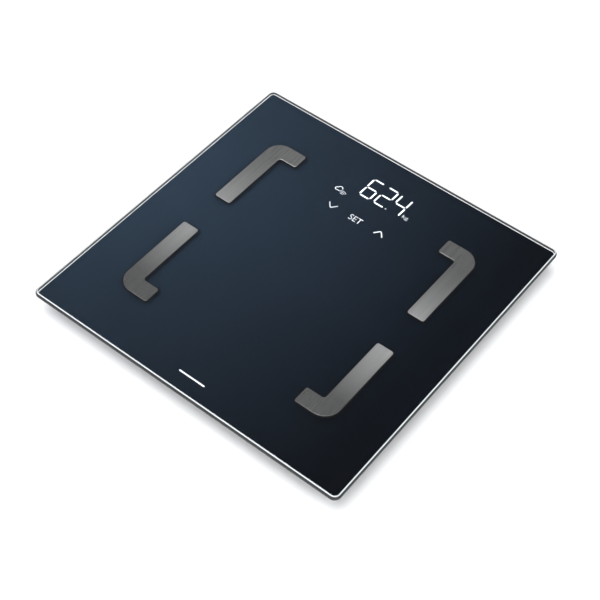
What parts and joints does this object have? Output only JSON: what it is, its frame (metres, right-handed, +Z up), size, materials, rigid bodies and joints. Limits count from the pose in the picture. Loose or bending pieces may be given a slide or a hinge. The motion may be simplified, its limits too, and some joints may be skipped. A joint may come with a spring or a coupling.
{
  "type": "digital bathroom scale",
  "caption": "Square glass body-analysis scale with brushed steel J-shaped electrodes, a lit digit display, touch keys, a recessed base tray, load-cell feet and a battery door.",
  "frame": {"origin": "on the floor under the centre of the glass, with the rubber pads resting on z = 0", "axes": "+X to the user's right, +Y from the user towards the display, +Z up through the glass"},
  "size_m": [0.3, 0.3, 0.024],
  "materials": {
    "glass": "clear, polished round edge",
    "back_ink": "dark ink on the back of the glass, slate blue fading to black",
    "smoked_window": "smoked translucent ink over the display",
    "electrode_steel": "brushed along the long arm",
    "tape": "thin double-sided tape",
    "wire_insulation": "PVC insulation",
    "ribbon_insulation": "flat PVC lead",
    "tray_plastic": "fine spark texture",
    "foam": "closed-cell foam tape",
    "label": "blank silver label",
    "screw_steel": "zinc plated",
    "holder_plastic": "natural ABS",
    "cell_steel": "nickel plated spring steel",
    "gauge_film": "white sealing compound",
    "foot_rubber": "matt rubber",
    "board_laminate": "green solder mask",
    "chip_plastic": "moulded epoxy",
    "shield_steel": "tinned",
    "capacitor_can": "sleeved can",
    "socket_plastic": "ivory nylon",
    "housing_plastic": "matt black reflector block",
    "light_pipe": "clear filler over white lamps",
    "diffuser_film": "milky film",
    "spring_brass": "plated spring wire",
    "contact_steel": "nickel plated",
    "plunger_plastic": "moulded",
    "button_plastic": "satin",
    "battery_shell": "printed sleeve"
  },
  "bodies": {
    "platform": {"glass_platform": "glass", "back_print": "back_ink", "display_window": "smoked_window", "electrode_front_left": "electrode_steel", "electrode_front_right": "electrode_steel", "electrode_rear_left": "electrode_steel", "electrode_rear_right": "electrode_steel", "electrode_tape": "tape", "holder_tape": "tape", "electrode_leads": "wire_insulation", "battery_leads": "wire_insulation", "cell_leads": "ribbon_insulation", "base_tray": "tray_plastic", "rim_seal": "foam", "rating_label": "label", "tray_screws": "screw_steel", "board_screws": "screw_steel", "cell_holder_front_left": "holder_plastic", "cell_holder_front_right": "holder_plastic", "cell_holder_rear_left": "holder_plastic", "cell_holder_rear_right": "holder_plastic", "load_cell_front_left": "cell_steel", "load_cell_front_right": "cell_steel", "load_cell_rear_left": "cell_steel", "load_cell_rear_right": "cell_steel", "strain_gauges": "gauge_film", "main_board": "board_laminate", "microcontroller": "chip_plastic", "unit_switch": "chip_plastic", "radio_module": "shield_steel", "capacitors": "capacitor_can", "lead_sockets": "socket_plastic", "display_housing": "housing_plastic", "display_light_pipes": "light_pipe", "display_diffuser": "diffuser_film", "touch_springs": "spring_brass", "battery_contacts": "contact_steel", "battery_springs": "contact_steel", "battery_1": "battery_shell", "battery_2": "battery_shell", "battery_3": "battery_shell"},
    "battery_door": {"battery_door": "tray_plastic"},
    "unit_button": {"unit_button": "button_plastic", "switch_plunger": "plunger_plastic"},
    "foot_front_left": {"foot_cup_front_left": "tray_plastic", "foot_pad_front_left": "foot_rubber"},
    "foot_front_right": {"foot_cup_front_right": "tray_plastic", "foot_pad_front_right": "foot_rubber"},
    "foot_rear_left": {"foot_cup_rear_left": "tray_plastic", "foot_pad_rear_left": "foot_rubber"},
    "foot_rear_right": {"foot_cup_rear_right": "tray_plastic", "foot_pad_rear_right": "foot_rubber"}
  },
  "joints": [
    {"name": "battery_door_hinge", "type": "hinge", "parent": "platform", "child": "battery_door", "pos_m": [0, -0.00975, 0.0048], "axis": [-1, 0, 0], "range_deg": [0, 100]},
    {"name": "unit_button_press", "type": "slide", "parent": "platform", "child": "unit_button", "axis": [0, 0, 1], "range_m": [0, 0.00045], "stiffness_N_per_m": 400, "springref_m": -0.0015},
    {"name": "foot_front_left_play", "type": "slide", "parent": "platform", "child": "foot_front_left", "axis": [0, 0, 1], "range_m": [-0.0006, 0]},
    {"name": "foot_front_right_play", "type": "slide", "parent": "platform", "child": "foot_front_right", "axis": [0, 0, 1], "range_m": [-0.0006, 0]},
    {"name": "foot_rear_left_play", "type": "slide", "parent": "platform", "child": "foot_rear_left", "axis": [0, 0, 1], "range_m": [-0.0006, 0]},
    {"name": "foot_rear_right_play", "type": "slide", "parent": "platform", "child": "foot_rear_right", "axis": [0, 0, 1], "range_m": [-0.0006, 0]}
  ]
}
